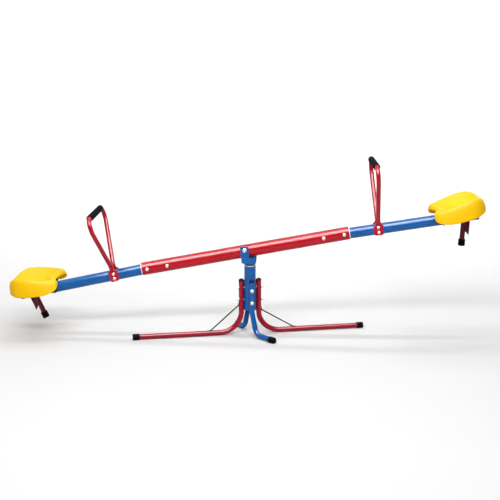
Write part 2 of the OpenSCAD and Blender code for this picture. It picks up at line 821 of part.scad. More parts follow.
// [inset, share, rise, drop below the outside] for each ring, from the hem over the shoulder and
// the rim to the middle, and back underneath.
SEAT_OUTSIDE = [
    [0, 1, 0, 0], [1.5, 1, 0.3, 0], [5, 1, 0.62, 0], [10, 1, 0.85, 0], [16, 1, 0.97, 0],
    [22, 1, 1, 0], [22, 0.86, 1, 0], [22, 0.68, 1, 0], [22, 0.46, 1, 0], [22, 0.23, 1, 0]
];
SEAT_INSIDE = [
    [22, 0.23, 1, seat_t], [22, 0.46, 1, seat_t], [22, 0.68, 1, seat_t], [22, 0.86, 1, seat_t],
    [22, 1, 1, seat_t], [17, 1, 0.96, seat_t], [12, 1, 0.72, 2.5], [8, 1, 0.42, 1],
    [6, 1, 0.2, 0], [4, 1, 0, 0]
];

module seat_shell() {
    loop = smooth_loop(seat_loop(), seat_steps);
    n = len(loop);
    rings = [for (ring = concat(SEAT_OUTSIDE, SEAT_INSIDE)) seat_ring(loop, ring)];
    m = len(rings);
    outer_n = len(SEAT_OUTSIDE);
    points = concat([for (r = rings) each r], [[0, 0, pan_w], [0, 0, pan_w - seat_t]]);
    // each band of quads is split in two; the band across the middle is replaced by two fans
    faces = concat(
        [for (j = [0 : m - 1]) if (j != outer_n - 1) for (i = [0 : n - 1])
            let (k = (i + 1) % n, up = (j + 1) % m)
            each [[j * n + i, up * n + i, up * n + k], [j * n + i, up * n + k, j * n + k]]],
        [for (i = [0 : n - 1]) [(outer_n - 1) * n + i, n * m, (outer_n - 1) * n + (i + 1) % n]],
        [for (i = [0 : n - 1]) [outer_n * n + i, outer_n * n + (i + 1) % n, n * m + 1]]
    );
    polyhedron(points, faces, convexity = 6);
}

module seat(side) {
    color(seat_yellow) on_arm(side) translate([seat_u, 0, 0]) seat_shell();
}

module left_seat() { seat(-1); }
module right_seat() { seat(1); }

// A black saddle that sits on the arm and carries the seat.
module seat_pad(side) {
    low = -14;
    color(black) difference() {
        on_arm(side) difference() {
            translate([seat_u - 76, -pad_half, low])
                cube([pad_l, 2 * pad_half, pan_w - seat_t - low]);
            rotate([0, 90, 0]) cylinder(h = arm_end + 20, r = arm_d / 2 + 0.05);
            translate([0, -arm_d / 2 - 0.05, -40]) cube([arm_end + 20, arm_d + 0.1, 40]);
        }
        seat_screw_holes();
    }
}

module left_seat_pad() { seat_pad(-1); }
module right_seat_pad() { seat_pad(1); }

// Screws from below, through the arm and the pad into the underside of the seat.
module seat_screws() {
    color(zinc) at_seat_screws() translate([0, 0, -arm_d / 2]) rotate([0, -90, 0])
        dome_bolt(seat_screw_r, arm_d / 2 + pan_w - 0.8, m6_head_r, m6_head_h);
}

// ---------------------------------------------------------------- bumpers

// What the arm and the gusset are cut back to: the arm's own surface.
module arm_solid(side) {
    on_arm(side) rotate([0, 90, 0]) cylinder(h = arm_end, d = arm_d);
}

tube_low = bumper_reach - 3;
gusset_w = 14;
gusset_t = 4;
gusset_in = 58;
gusset_out = 72;

module bumper_tube(side) {
    color(paint_maroon) difference() {
        on_bumper(side) difference() {
            cylinder(h = tube_low, d = bumper_d);
            translate([0, 0, -e]) cylinder(h = tube_low + 2 * e, d = bumper_d - 3);
        }
        arm_solid(side);
    }
}

// A flat gusset outside the tube, its lower edge cut on a slant.
module bumper_gusset(side) {
    x0 = bumper_d / 2;
    color(paint_maroon) difference() {
        on_bumper(side) rotate([90, 0, 0]) linear_extrude(height = gusset_t, center = true)
            polygon([[x0, 10], [x0, gusset_in], [x0 + gusset_w, gusset_out], [x0 + gusset_w, 10]]);
        arm_solid(side);
    }
}

module bumper_cap(side) {
    color(black) on_bumper(side) translate([0, 0, bumper_reach - bumper_cap_l]) difference() {
        rotate_extrude() polygon([
            [0, 0], [bumper_cap_d / 2 - 1.5, 0], [bumper_cap_d / 2, 3],
            [bumper_cap_d / 2, bumper_cap_l - 4], [bumper_cap_d / 2 - 1.2, bumper_cap_l - 1.2],
            [bumper_cap_d / 2 - 4, bumper_cap_l], [0, bumper_cap_l]
        ]);
        translate([0, 0, -e]) cylinder(h = bumper_cap_l - 3 + e, d = bumper_d);
    }
}

module left_bumper_tube() { bumper_tube(-1); }
module right_bumper_tube() { bumper_tube(1); }
module left_bumper_gusset() { bumper_gusset(-1); }
module right_bumper_gusset() { bumper_gusset(1); }
module left_bumper_cap() { bumper_cap(-1); }
module right_bumper_cap() { bumper_cap(1); }

post_tube();
leg_collar();
leg_left();
leg_right();
leg_front();
leg_rear();
leg_top_plugs();
foot_cap_left();
foot_cap_right();
foot_cap_front();
foot_cap_rear();
brace_rod_left();
brace_rod_right();
brace_screws();
leg_bolts();
leg_washers();
leg_nuts();
upper_bush();
lower_bush();
yoke();
spindle();
spindle_washer();
spindle_bolt();
pivot_bolt();
pivot_nut();
centre_tube();
pivot_bush();
left_arm_tube();
right_arm_tube();
left_sleeve();
right_sleeve();
sleeve_bolts();
sleeve_nuts();
left_end_plug();
right_end_plug();
left_handle();
right_handle();
left_grip();
right_grip();
handle_bolts();
handle_nuts();
left_seat();
right_seat();
left_seat_pad();
right_seat_pad();
seat_screws();
left_bumper_tube();
right_bumper_tube();
left_bumper_gusset();
right_bumper_gusset();
left_bumper_cap();
right_bumper_cap();
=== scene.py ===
"""A rotating children's seesaw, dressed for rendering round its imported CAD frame.

The CAD's tubes, brace rods and bushes stay and get a material. The yoke, gussets and saddle pads
are copies of their CAD nodes with rounded edges. The seats, handles, foam grips, caps, plugs,
bolts, nuts and washers are rebuilt here with finer shapes, each on the place of the CAD node it
stands for, and weld beads are added. Lengths in the shape code are millimetres, in the frames of
the part's own source. Lights, camera and the floor are in metres.
"""
import json
import math

import bmesh
import bpy
from mathutils import Matrix, Vector

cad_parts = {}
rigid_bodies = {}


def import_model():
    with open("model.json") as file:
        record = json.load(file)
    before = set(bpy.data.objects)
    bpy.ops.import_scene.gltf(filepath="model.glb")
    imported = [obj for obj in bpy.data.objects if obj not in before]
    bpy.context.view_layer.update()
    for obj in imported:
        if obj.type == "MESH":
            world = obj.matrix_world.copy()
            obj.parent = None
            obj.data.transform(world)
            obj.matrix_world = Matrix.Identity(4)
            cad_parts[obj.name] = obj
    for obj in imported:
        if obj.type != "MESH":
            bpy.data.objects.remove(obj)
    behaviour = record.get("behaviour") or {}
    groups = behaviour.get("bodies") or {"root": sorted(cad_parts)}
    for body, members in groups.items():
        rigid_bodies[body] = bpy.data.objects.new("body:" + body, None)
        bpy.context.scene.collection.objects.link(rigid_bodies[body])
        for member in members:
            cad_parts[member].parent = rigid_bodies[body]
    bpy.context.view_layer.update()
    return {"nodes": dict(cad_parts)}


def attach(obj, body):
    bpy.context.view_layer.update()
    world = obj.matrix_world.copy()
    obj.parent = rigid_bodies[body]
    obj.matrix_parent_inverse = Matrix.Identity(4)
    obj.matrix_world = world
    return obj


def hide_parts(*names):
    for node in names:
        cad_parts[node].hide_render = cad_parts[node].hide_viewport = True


for leftover in list(bpy.data.objects):
    bpy.data.objects.remove(leftover)
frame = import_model()

# ------------------------------------------------------------------ sizes, as in the CAD source

SIDES = {"left": -1, "right": 1}
BASE_YAW = 12
POST_R = 22
COLLAR_TOP = 212
LEG_R = 10
LEG_AT = 33.8
LEG_TOP = 213
FOOT_Z = 10.8
SIDE_BOLT_Z = (187, 139)
FRONT_BOLT_Z = (180, 132)
LEG_BOLT_GRIP = 87.6
CHEEK_OUT = 31
PIVOT = Vector((-20, 0, 336))
BEAM_TILT = 10.5
AXIS_DROP = 8  # how far the beam's axis is below the pivot
TUBE_R = 25
TUBE_HALF = 400
ARM_R = 21
ARM_END = 884
ARM_FROM = 341
ARM_DROOP = 1.5
HANDLE_U = 510
HANDLE_LEAN = 4
HANDLE_R = 8.5
HANDLE_HALF = 146
GRIP_W = 250
GRIP_HALF = 112
SEAT_U = 815
PAN_W = 30
SEAT_T = 4
BUMPER_U = 834
BUMPER_LEAN = 11.5
BUMPER_R = 9.5
BUMPER_REACH = 113

# ------------------------------------------------------------------ frames


def move(x, y, z):
    return Matrix.Translation((x, y, z))


def turn(axis, degrees):
    return Matrix.Rotation(math.radians(degrees), 4, axis)


FLIP_X = Matrix.Diagonal((-1, 1, 1, 1))
FLIP_Z = Matrix.Diagonal((1, 1, -1, 1))
ON_BEAM = move(*PIVOT) @ turn("Y", -BEAM_TILT) @ move(0, 0, -AXIS_DROP)


def on_arm(side):
    """X along an arm from the pivot, Z up from the arm's axis."""
    flip = FLIP_X if side < 0 else Matrix()
    return ON_BEAM @ flip @ move(ARM_FROM, 0, 0) @ turn("Y", ARM_DROOP) @ move(-ARM_FROM, 0, 0)


def on_handle(side):
    return on_arm(side) @ move(HANDLE_U, 0, 0) @ turn("Y", HANDLE_LEAN)


def on_bumper(side):
    """Z down a bumper from the arm's axis, X outwards."""
    return on_arm(side) @ move(BUMPER_U, 0, 0) @ turn("Y", BUMPER_LEAN) @ FLIP_Z


def on_leg(angle):
    return turn("Z", BASE_YAW + angle)


def on_foot(angle, twist):
    """X along a leg's foot, which is turned about the leg's upright."""
    return on_leg(angle) @ move(LEG_AT, 0, 0) @ turn("Z", twist) @ move(-LEG_AT, 0, 0)


# ------------------------------------------------------------------ materials


class Nodes:
    """A short way to write a material's node tree."""

    def __init__(self, name):
        self.material = bpy.data.materials.new(name)
        self.material.use_nodes = True
        self.tree = self.material.node_tree
        self.shader = self.tree.nodes["Principled BSDF"]
        self.place = self.tree.nodes.new("ShaderNodeTexCoord").outputs["Object"]

    def add(self, kind, links=(), **values):
        node = self.tree.nodes.new(kind)
        for key, value in values.items():
            if hasattr(node, key):
                setattr(node, key, value)
            else:
                node.inputs[key.replace("_", " ")].default_value = value
        for socket, source in dict(links).items():
            self.tree.links.new(source, node.inputs[socket])
        return node

    def noise(self, scale, detail=3.0, roughness=0.55, stretch=None):
        place = self.place
        if stretch:
            place = self.add("ShaderNodeMapping", {"Vector": place}, Scale=stretch).outputs[0]
        return self.add(
            "ShaderNodeTexNoise", {"Vector": place}, Scale=scale, Detail=detail, Roughness=roughness
        ).outputs["Fac"]

    def ramp(self, source, stops):
        node = self.add("ShaderNodeValToRGB", {"Fac": source})
        bands = node.color_ramp.elements
        while len(bands) < len(stops):
            bands.new(0.5)
        for band, (at, colour) in zip(bands, stops):
            band.position = at
            band.color = (*colour, 1)
        return node.outputs["Color"]

    def span(self, source, low, high, start=0.0, end=1.0):
        node = self.add("ShaderNodeMapRange", {"Value": source})
        node.inputs["From Min"].default_value = start
        node.inputs["From Max"].default_value = end
        node.inputs["To Min"].default_value = low
        node.inputs["To Max"].default_value = high
        return node.outputs["Result"]

    def blend(self, how, factor, a, b):
        """Mixes two colours; factor, a and b are sockets, numbers or colours."""
        node = self.add("ShaderNodeMix", data_type="RGBA", blend_type=how)
        for name, value in (("Factor_Float", factor), ("A_Color", a), ("B_Color", b)):
            socket = next(s for s in node.inputs if s.identifier == name)
            if isinstance(value, bpy.types.NodeSocket):
                self.tree.links.new(value, socket)
            else:
                socket.default_value = (*value, 1) if isinstance(value, tuple) else value
        return next(s for s in node.outputs if s.identifier == "Result_Color")

    def bumps(self, *layers):
        """Stacks bump layers, each (height socket, strength, distance in metres)."""
        normal = None
        for height, strength, distance in layers:
            links = {"Height": height}
            if normal:
                links["Normal"] = normal
            normal = self.add("ShaderNodeBump", links, Strength=strength, Distance=distance).outputs[0]
        self.tree.links.new(normal, self.shader.inputs["Normal"])

    def feed(self, **sockets):
        for name, value in sockets.items():
            socket = self.shader.inputs[name.replace("_", " ")]
            if isinstance(value, bpy.types.NodeSocket):
                self.tree.links.new(value, socket)
            else:
                socket.default_value = (*value, 1) if isinstance(value, tuple) else value
        return self.material


def paint(name, colour, deep, gloss=0.16):
    """Powder coat: a clear skin with orange peel over a slightly cloudy colour, with fine scuffs."""
    n = Nodes(name)
    cloud = n.noise(14, 4)
    scuff = n.ramp(n.noise(90, 8, 0.7, (1, 4, 4)), [(0.60, (0, 0, 0)), (0.74, (1, 1, 1))])
    base = n.blend("MIX", n.span(cloud, 0.0, 1.0, 0.3, 0.7), colour, deep)
    base = n.blend("MIX", n.span(scuff, 0.0, 0.04), base, (0.45, 0.40, 0.40))
    n.bumps((n.noise(420, 2), 0.03, 0.0004), (scuff, 0.03, 0.0002))
    return n.feed(
        Base_Color=base,
        Roughness=n.span(n.noise(60, 5), gloss, gloss + 0.08, 0.3, 0.7),
        Specular_IOR_Level=0.10,
        Coat_Weight=0.34,
        Coat_Roughness=0.10,
        Coat_IOR=1.5,
    )


def metal(name, colour, rough, grain=(1, 1, 1)):
    """Zinc plate: fine streaks and a faint bloom."""
    n = Nodes(name)
    bloom = n.noise(55, 5)
    base = n.blend("MIX", n.span(bloom, 0.0, 1.0, 0.35, 0.65), colour, tuple(c * 0.78 for c in colour))
    n.bumps((n.noise(700, 3, 0.6, grain), 0.12, 0.0002))
    return n.feed(
        Base_Color=base, Metallic=1.0, Roughness=n.span(n.noise(160, 4), rough, rough + 0.2, 0.3, 0.7)
    )


def plastic(name, colour, deep, rough, pebble=0.0, speck=900, shine=0.2):
    """Moulded plastic: a soft colour drift and a fine pebbled skin."""
    n = Nodes(name)
    base = n.blend("MIX", n.span(n.noise(9, 3), 0.0, 1.0, 0.32, 0.68), colour, deep)
    cells = n.add("ShaderNodeTexVoronoi", {"Vector": n.place}, Scale=speck).outputs["Distance"]
    n.bumps((cells, pebble, 0.0003), (n.noise(70, 3), 0.05, 0.0006))
    return n.feed(
        Base_Color=base,
        Roughness=n.span(n.noise(35, 5), rough, rough + 0.14, 0.3, 0.7),
        Specular_IOR_Level=shine,
    )


def foam(name):
    """Closed-cell foam: open pores on a dull black skin, with grey specks where it catches light."""
    n = Nodes(name)
    pores = n.add("ShaderNodeTexVoronoi", {"Vector": n.place}, Scale=520).outputs["Distance"]
    speck = n.ramp(n.noise(650, 4, 0.7), [(0.50, (0.002, 0.002, 0.004)), (0.74, (0.012, 0.012, 0.020))])
    n.bumps((pores, 0.55, 0.0007), (n.noise(120, 4), 0.35, 0.0010))
    return n.feed(Base_Color=speck, Roughness=0.85, Specular_IOR_Level=0.02)


RED = paint("paint_red", (0.43, 0.003, 0.013), (0.36, 0.002, 0.010))
CRIMSON = paint("paint_crimson", (0.30, 0.002, 0.017), (0.24, 0.001, 0.013))
HANDLE_RED = paint("paint_handle_red", (0.40, 0.003, 0.014), (0.32, 0.002, 0.012))
MAROON = paint("paint_maroon", (0.130, 0.001, 0.014), (0.095, 0.001, 0.010), 0.3)
BLUE = paint("paint_blue", (0.004, 0.094, 0.325), (0.003, 0.076, 0.270))
BROWN = paint("paint_brown", (0.030, 0.010, 0.008), (0.018, 0.007, 0.006), 0.35)
ZINC = metal("zinc_plate", (0.78, 0.79, 0.82), 0.24)
STEEL = metal("turned_steel", (0.62, 0.63, 0.66), 0.3, (8, 8, 1))
NYLON = plastic("nylon", (0.78, 0.78, 0.74), (0.70, 0.69, 0.64), 0.45, 0.05, shine=0.4)
YELLOW = plastic("seat_yellow", (0.80, 0.47, 0.0), (0.78, 0.43, 0.0), 0.38, 0.08, 700, 0.1)
RUBBER = plastic("black_rubber", (0.002, 0.002, 0.003), (0.004, 0.004, 0.005), 0.55, 0.20, 800, 0.02)
BLACK = plastic("black_plastic", (0.002, 0.002, 0.003), (0.005, 0.005, 0.006), 0.36, 0.08, 900, 0.06)
FOAM = foam("grip_foam")

# ------------------------------------------------------------------ mesh tools


def piece(name, body, material, parts, hides=(), crease=40):
    """Makes one object from parts, each (frame in mm, points, faces), riding on a CAD body."""
    bm = bmesh.new()
    for matrix, points, faces in parts:
        made = [bm.verts.new((matrix @ Vector(p)) * 0.001) for p in points]
        for face in faces:
            bm.faces.new([made[i] for i in face])
    bmesh.ops.recalc_face_normals(bm, faces=bm.faces)
    return finished(name, bm, body, material, hides, crease)


def finished(name, bm, body, material, hides=(), crease=40):
    mesh = bpy.data.meshes.new(name)
    bm.to_mesh(mesh)
    bm.free()
    mesh.polygons.foreach_set("use_smooth", [True] * len(mesh.polygons))
    mesh.set_sharp_from_angle(angle=math.radians(crease))
    mesh.materials.append(material)
    made = bpy.data.objects.new(name, mesh)
    bpy.context.scene.collection.objects.link(made)
    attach(made, body)
    if hides:
        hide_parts(*hides)
    return made


def bridged(rings, closed=False):
    """Faces between successive rings of point numbers; a ring of one point closes to it."""
    faces = []
    for a, b in zip(rings, rings[1:] + (rings[:1] if closed else [])):
        for i in range(max(len(a), len(b))):
            if len(a) == 1:
                faces.append((a[0], b[i], b[(i + 1) % len(b)]))
            elif len(b) == 1:
                faces.append((a[i], b[0], a[(i + 1) % len(a)]))
            else:
                j = (i + 1) % len(a)
                faces.append((a[i], b[i], b[j], a[j]))
    return faces


def turned(profile, sides=48, closed=False):
    """A solid of revolution about Z. Each profile entry is (radius, z), radius a number or a
    function of the angle in degrees; radius 0 is a pole."""
    points, rings = [], []
    for r, z in profile:
        if r == 0:
            rings.append([len(points)])
            points.append((0, 0, z))
            continue
        rings.append(list(range(len(points), len(points) + sides)))
        for k in range(sides):
            angle = 360 * k / sides
            size = r(angle) if callable(r) else r
            points.append((size * math.cos(math.radians(angle)), size * math.sin(math.radians(angle)), z))
    return points, bridged(rings, closed)


def hexagon(across, cap=None):
    """The radius of a hexagon at an angle, no more than cap."""
    def radius(angle):
        r = across / 2 / math.cos(math.radians((angle % 60) - 30))
        return min(r, cap) if cap else r
    return radius


def rounded(r0, z0, r1, z1, steps=6):
    """A quarter round in a profile, from (r0, z0), leaving along r, to (r1, z1)."""
    return [
        (r0 + (r1 - r0) * math.sin(math.radians(90 * k / steps)),
         z1 + (z0 - z1) * math.cos(math.radians(90 * k / steps)))
        for k in range(steps + 1)
    ]


def bolt(r, length, head_r, head_h, thread=14.0):
    """A button-head bolt with a hexagon socket, and rings in place of its thread. Its head's seat is
    at z = 0, the head is above it, and the shank runs to z = -length."""
    socket = head_r * 0.34
    key = hexagon(socket * 2)
    dome = [
        (head_r * math.cos(math.radians(a)), 0.9 + (head_h - 0.9) * math.sin(math.radians(a)))
        for a in (0, 12, 24, 36, 48, 58)
    ]
    top = dome[-1][1] + 0.25
    profile = [(0, top - head_h * 0.6), (key, top - head_h * 0.6), (key, top - 0.1),
               (head_r * 0.46, top)] + dome[::-1] + [(head_r - 0.3, 0.15), (head_r - 0.5, 0), (r, 0)]
    start = max(4.0, length - thread)
    profile.append((r, -start))
    z = start
    while z < length - 1.2:
        profile += [(r - 0.42, -(z + 0.4)), (r, -(z + 0.8))]
        z += 0.9
    profile += [(r - 0.8, -length), (0, -length)]
    return turned(profile, 36)


def nut(r, across, height):
    """A chamfered hexagon nut from z = 0 to z = height, with a chamfered bore."""
    corner = across / math.sqrt(3)
    flat, chamfer, rim = hexagon(across), hexagon(across, corner * 0.96), hexagon(across, corner * 0.90)
    profile = [
        (r + 0.5, 0.0), (rim, 0.0), (chamfer, height * 0.06), (flat, height * 0.16), (flat, height * 0.84),
        (chamfer, height * 0.94), (rim, height), (r + 0.5, height), (r + 0.06, height - 0.5), (r + 0.06, 0.5)
    ]
    return turned(profile, 48, closed=True)


def ring_washer(r_in, r_out, t):
    return turned([
        (r_in, 0.15), (r_in + 0.15, 0), (r_out - 0.3, 0), (r_out, 0.3), (r_out, t - 0.3), (r_out - 0.3, t),
        (r_in + 0.15, t), (r_in, t - 0.15)
    ], 48, closed=True)


def swept(stations, sides, wall):
    """A tube with open ends along stations (centre, across, up, half thickness, half width,
    squareness), with its inner skin wall deep."""
    points, rings = [], []
    for skin, line in ((0, stations), (wall, stations[::-1])):
        for centre, across, up, thick, wide, square in line:
            rings.append(list(range(len(points), len(points) + sides)))
            for k in range(sides):
                c, s = math.cos(math.tau * k / sides), math.sin(math.tau * k / sides)
                a = max(thick - skin, 0.3 * thick) * math.copysign(abs(c) ** (1 / square), c)
                b = (wide - skin) * math.copysign(abs(s) ** (1 / square), s)
                points.append(centre + across * a + up * b)
    return points, bridged(rings, closed=True)


def bead(path, r, closed=True, sides=10):
    """A weld bead along points: a rope of small overlapping pools."""
    points, rings = [], []
    count = len(path)
    for i, here in enumerate(path):
        ahead = path[(i + 1) % count if closed else min(i + 1, count - 1)]
        back = path[(i - 1) % count if closed else max(i - 1, 0)]
        along = (ahead - back).normalized()
        side = along.orthogonal() if i == 0 else (side - along * side.dot(along))
        side = side.normalized()
        other = along.cross(side)
        size = r * (1 + 0.16 * math.sin(i * 2.1) + 0.05 * math.sin(i * 0.83))
        if not closed and i in (0, count - 1):
            size *= 0.35
        rings.append(list(range(len(points), len(points) + sides)))
        for k in range(sides):
            angle = math.tau * k / sides
            points.append(here + side * (size * math.cos(angle)) + other * (size * math.sin(angle)))
    faces = bridged(rings, closed)
    if not closed:
        faces += [tuple(rings[0]), tuple(rings[-1])]
    return points, faces


def ring_path(r, z, count=72):
    return [
        Vector((r * math.cos(math.tau * k / count), r * math.sin(math.tau * k / count), z))
        for k in range(count)
    ]


def softened(name, node, body, material, width, segments=2, angle=35):
    """A copy of a CAD node with its sharp edges rounded, in place of the node."""
    bm = bmesh.new()
    bm.from_mesh(frame["nodes"][node].data)
    bmesh.ops.remove_doubles(bm, verts=bm.verts, dist=1e-6)
    bmesh.ops.dissolve_limit(bm, angle_limit=math.radians(2), verts=bm.verts, edges=bm.edges)
    sharp = [e for e in bm.edges if e.is_manifold and e.calc_face_angle(0) > math.radians(angle)]
    bmesh.ops.bevel(
        bm, geom=sharp, offset=width * 0.001, segments=segments, profile=0.5, affect="EDGES",
        clamp_overlap=True
    )
    bmesh.ops.triangulate(bm, faces=[f for f in bm.faces if len(f.verts) > 4])
    return finished(name, bm, body, material, [node], 30)


# ------------------------------------------------------------------ CAD nodes that stay

KEPT = {
    RED: ["centre_tube"],
    BLUE: ["post_tube", "leg_collar", "leg_front", "leg_rear", "left_arm_tube", "right_arm_tube", "spindle"],
    CRIMSON: ["leg_left", "leg_right"],
    MAROON: ["left_bumper_tube", "right_bumper_tube"],
    BROWN: ["brace_rod_left", "brace_rod_right"],
    STEEL: ["pivot_bush"],
    NYLON: ["upper_bush", "lower_bush", "left_sleeve", "right_sleeve"],
}
for material, names in KEPT.items():
    for node_name in names:
        node = frame["nodes"][node_name]
        node.data.materials.clear()
        node.data.materials.append(material)

softened("yoke_plate", "yoke", "head", BLUE, 0.9, 3)
for side_name in SIDES:
    softened(f"{side_name}_gusset", f"{side_name}_bumper_gusset", "beam", MAROON, 0.7)
    softened(f"{side_name}_saddle", f"{side_name}_seat_pad", "beam", BLACK, 2.0, 3)

# ------------------------------------------------------------------ weld beads

LEGS = {  # turn of the leg, twist of its foot, reach
    "right": (0, 0, 450), "rear": (90, 22, 118), "left": (180, 0, 450), "front": (270, 32, 158)
}


def weld_at(name, body, material, paths):
    piece(name, body, material, [(Matrix(), *bead(path, r, closed)) for path, r, closed in paths])


NECK_R = 20.6
NECK_Z = 279.4
weld_at("collar_welds", "base", BLUE, [
    (ring_path(POST_R + 0.9, COLLAR_TOP + 0.5), 1.3, True),
])
weld_at("neck_weld", "head", BLUE, [(ring_path(NECK_R, NECK_Z), 1.5, True)])


def saddle_path(side, count=56):
    """Where a bumper tube meets its arm: the tube's lines run down to the arm's surface."""
    local = on_arm(side).inverted() @ on_bumper(side)
    outside = 1.04  # the bead lies this much wider than the tube
    path = []
    for k in range(count):
        x, y = BUMPER_R * math.cos(math.tau * k / count), BUMPER_R * math.sin(math.tau * k / count)
        low, high = 5.0, 40.0
        for _ in range(30):
            z = (low + high) / 2
            q = local @ Vector((x * outside, y * outside, z))
            if math.hypot(q.y, q.z) < ARM_R:
                low = z
            else:
                high = z
        path.append(on_bumper(side) @ Vector((x * outside, y * outside, high + 0.3)))
    return path


def gusset_paths(side):
    place = on_bumper(side)
    return [
        [place @ Vector((BUMPER_R + 0.4, y, z)) for z in [22 + 1.2 * k for k in range(29)]]
        for y in (-2.3, 2.3)
    ]


weld_at("bumper_welds", "beam", MAROON, [
    (saddle_path(side), 1.3, True) for side in SIDES.values()
] + [(path, 1.0, False) for side in SIDES.values() for path in gusset_paths(side)])

# ------------------------------------------------------------------ fasteners

TO_X = turn("Y", -90)  # turns +Z, where a bolt's head is, to -X


def leg_bolt_frames():
    return [on_leg(angle) @ move(0, 0, z)
            for angle, heights in ((0, SIDE_BOLT_Z), (90, FRONT_BOLT_Z)) for z in heights]


def cross_bolt_frames(at, matrix, out):
    """A bolt across the beam at points of a frame, X towards the back, starting out in front."""
    return [matrix @ move(*p) @ turn("Z", 90) @ move(-out, 0, 0) for p in at]


WASHER_T = 1.5
HALF_GRIP = LEG_BOLT_GRIP / 2
LEG_BOLTS = leg_bolt_frames()
piece("leg_bolt_set", "base", ZINC, [
    (f @ move(-HALF_GRIP - WASHER_T, 0, 0) @ TO_X, *bolt(3, LEG_BOLT_GRIP + 15, 6.5, 4)) for f in LEG_BOLTS
], ["leg_bolts"])
piece("leg_washer_set", "base", ZINC, [
    (f @ move(x, 0, 0) @ turn("Y", 90), *ring_washer(3.25, 7, WASHER_T))
    for f in LEG_BOLTS for x in (-HALF_GRIP - WASHER_T, HALF_GRIP)
], ["leg_washers"])
piece("leg_nut_set", "base", ZINC, [
    (f @ move(HALF_GRIP + WASHER_T, 0, 0) @ turn("Y", 90), *nut(3, 10, 5)) for f in LEG_BOLTS
], ["leg_nuts"])

SLEEVE_AT = [(s * (TUBE_HALF - d), 0, 0) for s in (-1, 1) for d in (20, 98)]
SLEEVE_BOLTS = cross_bolt_frames(SLEEVE_AT, ON_BEAM, TUBE_R)
HANDLE_BOLTS = [
    f for side in SIDES.values()
    for f in cross_bolt_frames([(HANDLE_U, 0, w) for w in (9, -9)], on_arm(side), ARM_R + 5)
]


def bolt_sets(name, frames, grip, head_r, node, nuts):
    piece(f"{name}_bolt_set", "beam", ZINC, [
        (f @ TO_X, *bolt(3, grip + 9, head_r, 4)) for f in frames
    ], [node])
    piece(f"{name}_nut_set", "beam", ZINC, [
        (f @ move(grip, 0, 0) @ turn("Y", 90), *nut(3, 10, 5)) for f in frames
    ], [nuts])


bolt_sets("sleeve", SLEEVE_BOLTS, 2 * TUBE_R, 6.5, "sleeve_bolts", "sleeve_nuts")
bolt_sets("handle", HANDLE_BOLTS, 2 * ARM_R + 10, 6, "handle_bolts", "handle_nuts")

PIVOT_FRAME = move(*PIVOT) @ turn("Z", 90) @ move(-CHEEK_OUT, 0, 0)
piece("pivot_bolt_piece", "head", ZINC, [
    (PIVOT_FRAME @ TO_X, *bolt(5, 2 * CHEEK_OUT + 12, 8.5, 5))
], ["pivot_bolt"])
piece("pivot_nut_piece", "head", ZINC, [
    (PIVOT_FRAME @ move(2 * CHEEK_OUT, 0, 0) @ turn("Y", 90), *nut(5, 16, 8))
], ["pivot_nut"])

SPINDLE_BOTTOM = 200
RETAINER_T = 2.5
piece("retainer_bolt_piece", "head", ZINC, [
    (move(0, 0, SPINDLE_BOTTOM - RETAINER_T) @ turn("Y", 180), *bolt(4, 24, 7, 5))
], ["spindle_bolt"])
piece("retainer_washer_piece", "head", ZINC, [
    (move(0, 0, SPINDLE_BOTTOM - RETAINER_T), *ring_washer(4.2, 17.5, RETAINER_T))
], ["spindle_washer"])

piece("seat_screw_set", "beam", ZINC, [
    (on_arm(side) @ move(SEAT_U + u, 0, -ARM_R) @ turn("Y", 180), *bolt(3, ARM_R + PAN_W - 0.8, 6.5, 4))
    for side in SIDES.values() for u in (-60, -5)
], ["seat_screws"])

BRACES = [(180, 124.5, 160.5), (0, 103.5, 176.5)]  # turn, height of the upper screw, reach of the lower one
piece("brace_screw_set", "base", ZINC, [
    part for angle, z, r in BRACES for part in (
        (on_leg(angle) @ move(LEG_AT + LEG_R + 2.5, 0, z) @ turn("Y", 90), *bolt(2, 10, 4, 2.6, 6)),
        (on_leg(angle) @ move(r, 0, FOOT_Z + LEG_R + 2.5), *bolt(2, 10, 4, 2.6, 6)),
    )
], ["brace_screws"])

# ------------------------------------------------------------------ caps and plugs


def ribbed_cap(outer, length, inner, floor, ribs, end_round):
    """A moulded cap from its mouth at z = 0 to its closed end at z = length."""
    profile = [(0, length - floor), (inner, length - floor), (inner, 0.4), (inner + 0.4, 0), (outer - 1.4, 0)]
    profile += rounded(outer - 1.4, 0, outer, 1.4, 4)[1:]
    for k in range(ribs):
        z = 3.2 + k * 2.6
        profile += [(outer, z), (outer - 0.45, z + 0.5), (outer - 0.45, z + 1.1), (outer, z + 1.6)]
    profile.append((outer, length - end_round))
    profile += [
        (outer - end_round + end_round * math.cos(math.radians(a)),
         length - end_round + end_round * math.sin(math.radians(a)))
        for a in (15, 30, 45, 60, 75, 90)
    ]
    profile.append((0, length))
    return turned(profile, 56)


BOOT_L = 25
FOOT_BOOT_L = 26
FOOT_BOOT_BACK = 23  # from a foot's full reach back to the cap's mouth

for side_name, side in SIDES.items():
    piece(f"{side_name}_bumper_boot", "beam", RUBBER, [
        (on_bumper(side) @ move(0, 0, BUMPER_REACH - BOOT_L), *ribbed_cap(13, BOOT_L, BUMPER_R, 3, 4, 3.6))
    ], [f"{side_name}_bumper_cap"])


def flattened(part):
    """Sets a foot cap's lowest points on the floor, as a flat sole."""
    matrix, points, faces = part
    made = []
    for p in points:
        q = matrix @ Vector(p)
        made.append(Vector((q.x, q.y, max(q.z, 0.0))))
    return Matrix(), made, faces


for name, (angle, twist, reach) in LEGS.items():
    place = on_foot(angle, twist) @ move(reach - FOOT_BOOT_BACK, 0, FOOT_Z) @ turn("Y", 90)
    piece(f"{name}_foot_boot", "base", RUBBER, [
        flattened((place, *ribbed_cap(12, FOOT_BOOT_L, LEG_R, 3, 4, 3.0)))
    ], [f"foot_cap_{name}"])


